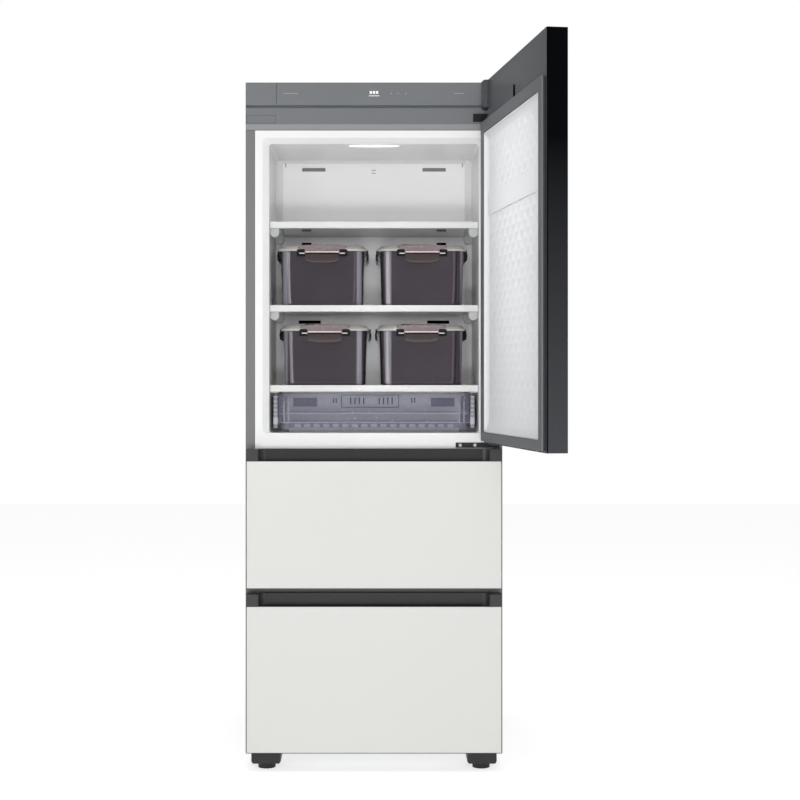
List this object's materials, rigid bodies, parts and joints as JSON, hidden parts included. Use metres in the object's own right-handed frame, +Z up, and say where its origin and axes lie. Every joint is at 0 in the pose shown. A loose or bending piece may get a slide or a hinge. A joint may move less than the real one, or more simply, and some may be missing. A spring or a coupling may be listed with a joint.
{
  "type": "kimchi refrigerator",
  "caption": "Tall free-standing kimchi refrigerator: a hinged upper door over a shelved compartment with lidded containers and a clear tray, above pull-out drawers.",
  "frame": {"origin": "centre of the cabinet's footprint, on the floor", "axes": "+Z up; -Y is the front that the drawers and the door open towards; +Y the back; +X to the right of someone who faces the front, the side of the door's hinges"},
  "size_m": [0.7868, 1.3786, 1.853],
  "materials": {
    "case_paint": "satin mid-grey powder-coated steel",
    "galvanised": "dull zinc-coated steel sheet",
    "liner_white": "vacuum-formed white liner plastic, soft gloss",
    "foam": "rigid polyurethane foam",
    "control_grey": "satin mid-grey moulding",
    "board_green": "circuit board",
    "lamp_lens": "frosted lens over a row of lamps",
    "shelf_board": "dark gloss-coated shelf board",
    "shelf_white": "white moulded trim",
    "bracket_clear": "clear moulded shelf rest",
    "coil_alloy": "plain aluminium fins and tube",
    "motor_dark": "black enamelled motor",
    "fan_plastic": "dark moulded fan wheel",
    "compressor_black": "black enamelled pot",
    "pan_plastic": "dark moulded pan",
    "leg_black": "black enamelled bracket",
    "hinge_black": "black enamelled hinge",
    "rail_steel": "bright rolled steel channel",
    "foot_black": "black fluted foot",
    "roller_dark": "dark moulded roller",
    "door_grey": "dark grey door surround, satin",
    "front_white": "white enamelled front sheet",
    "seal_grey": "grey magnetic door seal",
    "bush_white": "natural bearing bush",
    "front_grey": "dark grey drawer surround",
    "grip_black": "dark satin grip moulding",
    "bin_plastic": "light translucent bin plastic",
    "tray_clear": "clear bluish tray plastic",
    "tub_purple": "dark purple-grey tub plastic",
    "lid_grey": "translucent light grey lid",
    "latch_brown": "mauve-brown latch plastic"
  },
  "bodies": {
    "cabinet": {"outer_case": "case_paint", "back_panel": "galvanised", "base_pan": "galvanised", "machine_cover": "galvanised", "upper_liner": "liner_white", "drawer_liners": "liner_white", "insulation_foam": "foam", "control_panel": "control_grey", "control_board": "board_green", "hinge_fascia": "control_grey", "duct_cover": "liner_white", "ceiling_lamp": "lamp_lens", "shelf_boards": "shelf_board", "shelf_trims": "shelf_white", "shelf_brackets": "bracket_clear", "evaporator": "coil_alloy", "fan_motors": "motor_dark", "compressor": "compressor_black", "drain_pan": "pan_plastic", "condenser": "coil_alloy", "leg_brackets": "leg_black", "lower_hinge": "hinge_black", "upper_hinge": "hinge_black", "fixed_rails": "rail_steel"},
    "cold_fan_wheel": {"evaporator_fan": "fan_plastic"},
    "warm_fan_wheel": {"condenser_fan": "fan_plastic"},
    "left_foot": {"levelling_foot_left": "foot_black"},
    "right_foot": {"levelling_foot_right": "foot_black"},
    "rollers": {"rear_rollers": "roller_dark"},
    "door": {"door_foam": "foam", "door_frame": "door_grey", "door_panel": "front_white", "door_liner": "liner_white", "door_gasket": "seal_grey", "door_bushes": "bush_white"},
    "middle_drawer": {"middle_front_frame": "front_grey", "middle_front_panel": "front_white", "middle_grip": "grip_black", "middle_gasket": "seal_grey", "middle_runners": "rail_steel", "middle_bin": "bin_plastic"},
    "lower_drawer": {"lower_front_frame": "front_grey", "lower_front_panel": "front_white", "lower_grip": "grip_black", "lower_gasket": "seal_grey", "lower_runners": "rail_steel", "lower_bin": "bin_plastic"},
    "tray": {"clear_tray": "tray_clear"},
    "tub_1": {"container_1_tub": "tub_purple"},
    "lid_1": {"container_1_lid": "lid_grey"},
    "latch_1": {"container_1_latch": "latch_brown"},
    "tub_2": {"container_2_tub": "tub_purple"},
    "lid_2": {"container_2_lid": "lid_grey"},
    "latch_2": {"container_2_latch": "latch_brown"},
    "tub_3": {"container_3_tub": "tub_purple"},
    "lid_3": {"container_3_lid": "lid_grey"},
    "latch_3": {"container_3_latch": "latch_brown"},
    "tub_4": {"container_4_tub": "tub_purple"},
    "lid_4": {"container_4_lid": "lid_grey"},
    "latch_4": {"container_4_latch": "latch_brown"}
  },
  "joints": [
    {"name": "door_hinge", "type": "hinge", "parent": "cabinet", "child": "door", "pos_m": [0.325, -0.3775, 1.3], "axis": [0, 0, 1], "range_deg": [-98, 22]},
    {"name": "middle_drawer_slide", "type": "slide", "parent": "cabinet", "child": "middle_drawer", "axis": [0, -1, 0], "range_m": [0, 0.38]},
    {"name": "lower_drawer_slide", "type": "slide", "parent": "cabinet", "child": "lower_drawer", "axis": [0, -1, 0], "range_m": [0, 0.3]},
    {"name": "tray_slide", "type": "slide", "parent": "cabinet", "child": "tray", "axis": [0, -1, 0], "range_m": [0, 0.24]},
    {"name": "container_1_slide", "type": "slide", "parent": "cabinet", "child": "tub_1", "axis": [0, -1, 0], "range_m": [0, 0.28]},
    {"name": "container_2_slide", "type": "slide", "parent": "cabinet", "child": "tub_2", "axis": [0, -1, 0], "range_m": [0, 0.28]},
    {"name": "container_3_slide", "type": "slide", "parent": "cabinet", "child": "tub_3", "axis": [0, -1, 0], "range_m": [0, 0.28]},
    {"name": "container_4_slide", "type": "slide", "parent": "cabinet", "child": "tub_4", "axis": [0, -1, 0], "range_m": [0, 0.28]},
    {"name": "lid_1_lift", "type": "slide", "parent": "tub_1", "child": "lid_1", "axis": [0, 0, 1], "range_m": [0, 0.03]},
    {"name": "lid_2_lift", "type": "slide", "parent": "tub_2", "child": "lid_2", "axis": [0, 0, 1], "range_m": [0, 0.03]},
    {"name": "lid_3_lift", "type": "slide", "parent": "tub_3", "child": "lid_3", "axis": [0, 0, 1], "range_m": [0, 0.03]},
    {"name": "lid_4_lift", "type": "slide", "parent": "tub_4", "child": "lid_4", "axis": [0, 0, 1], "range_m": [0, 0.03]},
    {"name": "latch_1_flip", "type": "hinge", "parent": "lid_1", "child": "latch_1", "pos_m": [-0.135, -0.2924, 1.1759], "axis": [-1, 0, 0], "range_deg": [0, 95]},
    {"name": "latch_2_flip", "type": "hinge", "parent": "lid_2", "child": "latch_2", "pos_m": [0.13, -0.2924, 1.1759], "axis": [-1, 0, 0], "range_deg": [0, 95]},
    {"name": "latch_3_flip", "type": "hinge", "parent": "lid_3", "child": "latch_3", "pos_m": [-0.142, -0.2924, 1.3946], "axis": [-1, 0, 0], "range_deg": [0, 95]},
    {"name": "latch_4_flip", "type": "hinge", "parent": "lid_4", "child": "latch_4", "pos_m": [0.132, -0.2924, 1.3946], "axis": [-1, 0, 0], "range_deg": [0, 95]},
    {"name": "evaporator_fan_spin", "type": "hinge", "parent": "cabinet", "child": "cold_fan_wheel", "pos_m": [0, 0.0255, 1.224], "axis": [0, 1, 0], "continuous": true},
    {"name": "condenser_fan_spin", "type": "hinge", "parent": "cabinet", "child": "warm_fan_wheel", "pos_m": [0.05, 0.2125, 0.135], "axis": [1, 0, 0], "continuous": true},
    {"name": "left_foot_turn", "type": "hinge", "parent": "cabinet", "child": "left_foot", "pos_m": [-0.29, -0.3325, 0.01], "axis": [0, 0, 1], "continuous": true},
    {"name": "right_foot_turn", "type": "hinge", "parent": "cabinet", "child": "right_foot", "pos_m": [0.29, -0.3325, 0.01], "axis": [0, 0, 1], "continuous": true},
    {"name": "rollers_spin", "type": "hinge", "parent": "cabinet", "child": "rollers", "pos_m": [0, 0.2775, 0.017], "axis": [1, 0, 0], "continuous": true}
  ]
}
